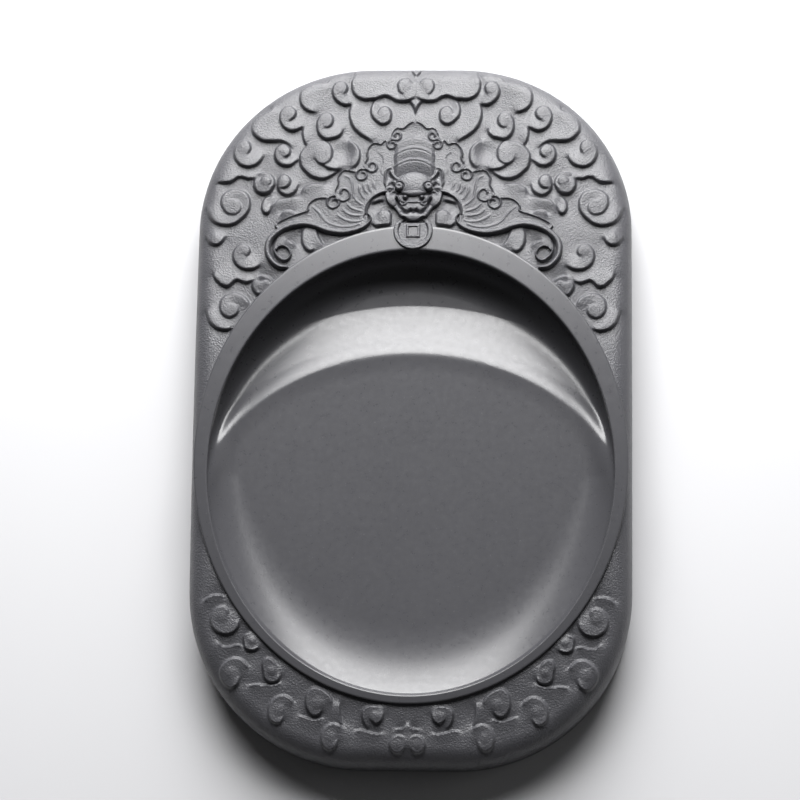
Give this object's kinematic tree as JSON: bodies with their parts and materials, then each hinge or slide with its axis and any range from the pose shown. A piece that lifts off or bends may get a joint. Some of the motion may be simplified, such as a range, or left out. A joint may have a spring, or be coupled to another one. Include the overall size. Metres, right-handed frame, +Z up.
{
  "type": "ink stone",
  "caption": "Carved oblong slate ink stone with an oval pool, a raised lip, a bat holding a coin, and cloud scrolls round the edge.",
  "frame": {"origin": "centre of the flat underside", "axes": "+Z up out of the carved face, +Y along the length towards the bat, +X to the right of the face"},
  "size_m": [0.127, 0.207, 0.0249],
  "materials": {
    "slate": "carved slate, satin with a fine grain left by the chisel and grit",
    "polished_slate": "finely honed slate, smooth and slightly glossy"
  },
  "bodies": {
    "root": {"bat_arm_left": "slate", "bat_arm_right": "slate", "bat_body": "slate", "bat_head": "slate", "bat_wing_left": "slate", "bat_wing_right": "slate", "cloud_crown": "slate", "cloud_foot": "slate", "clouds_corner_left": "slate", "clouds_corner_right": "slate", "clouds_foot_left": "slate", "clouds_foot_right": "slate", "clouds_lip_left": "slate", "clouds_lip_right": "slate", "clouds_lower_left": "slate", "clouds_lower_right": "slate", "clouds_side_left": "slate", "clouds_side_right": "slate", "clouds_upper_left": "slate", "clouds_upper_right": "slate", "clouds_wing_left": "slate", "clouds_wing_right": "slate", "coin": "slate", "pool_rim": "polished_slate", "stone_slab": "polished_slate"}
  },
  "joints": []
}
